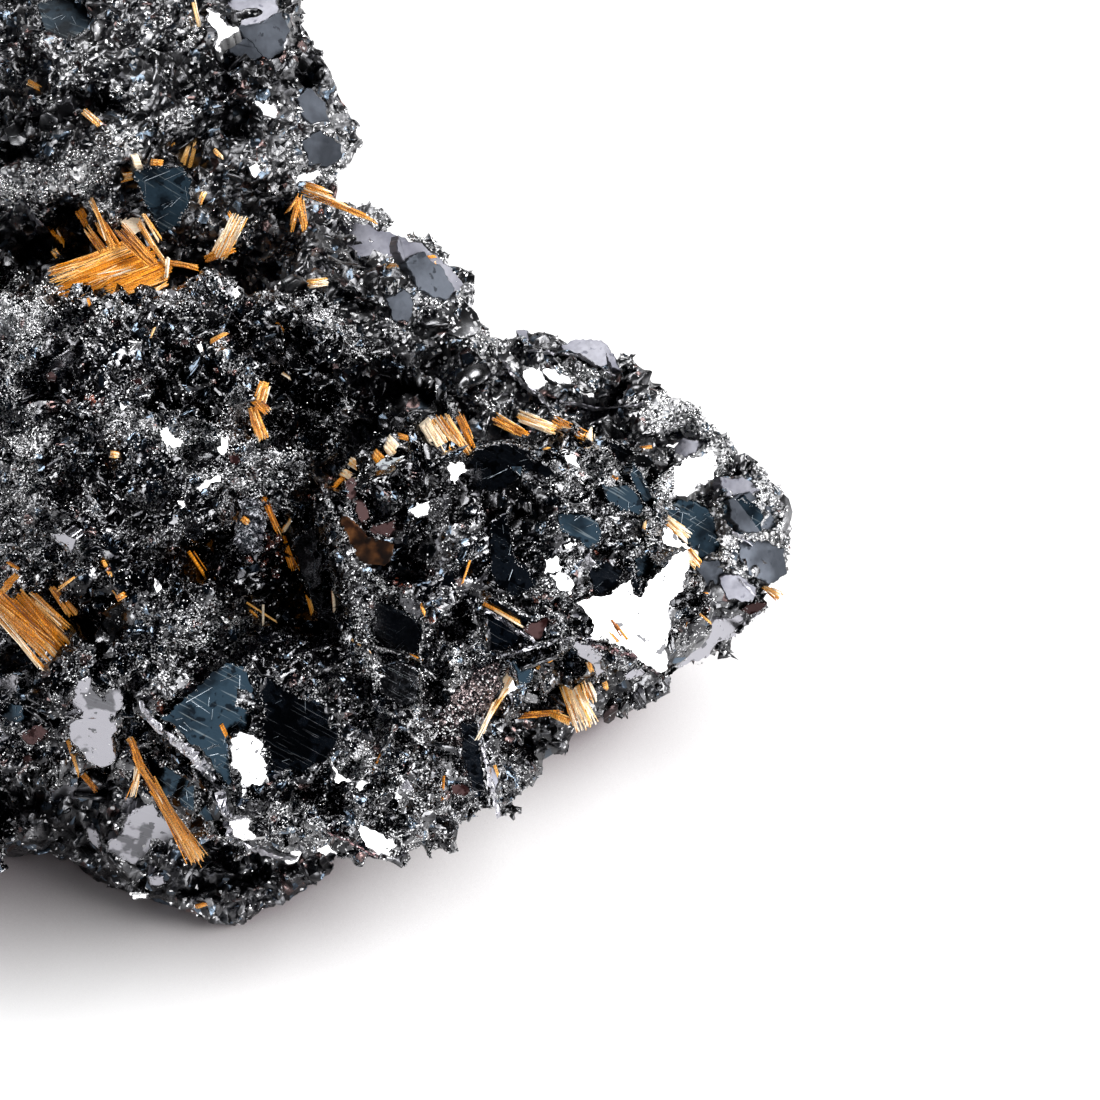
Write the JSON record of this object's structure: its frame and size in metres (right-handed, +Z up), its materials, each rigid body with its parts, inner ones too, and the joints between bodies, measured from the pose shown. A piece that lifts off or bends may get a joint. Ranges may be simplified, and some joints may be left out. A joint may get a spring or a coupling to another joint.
{
  "type": "rutile on hematite mineral specimen",
  "caption": "Irregular black hematite hand specimen of crowded plates and lumps, with golden sprays of rutile needles in its hollows, lying on its flat underside.",
  "frame": {"origin": "on the surface that the specimen lies on, under the middle of its bounding box", "axes": "+Z up, +X along the specimen's length towards its narrow end, +Y away from the side that the picture shows"},
  "size_m": [0.0776, 0.0638, 0.04],
  "materials": {
    "hematite": "black, bright metallic crystal faces between sparkling grains",
    "rutile": "golden orange to pale straw fine needles with a silky lustre"
  },
  "bodies": {
    "root": {"hematite_mass": "hematite", "rutile_back_bundle": "rutile", "rutile_back_fan": "rutile", "rutile_cleft_spray": "rutile", "rutile_corner_bundle": "rutile", "rutile_crest_1": "rutile", "rutile_crest_2": "rutile", "rutile_crest_3": "rutile", "rutile_crest_4": "rutile", "rutile_foot_bundle": "rutile", "rutile_fork_long": "rutile", "rutile_fork_short": "rutile", "rutile_left_fan": "rutile", "rutile_left_spray": "rutile", "rutile_nose_spray": "rutile", "rutile_pale_bundle": "rutile", "rutile_pale_needles": "rutile", "rutile_summit_fan": "rutile", "rutile_summit_low": "rutile", "rutile_summit_slim": "rutile", "rutile_summit_steep": "rutile", "rutile_under_prow": "rutile"}
  },
  "joints": []
}
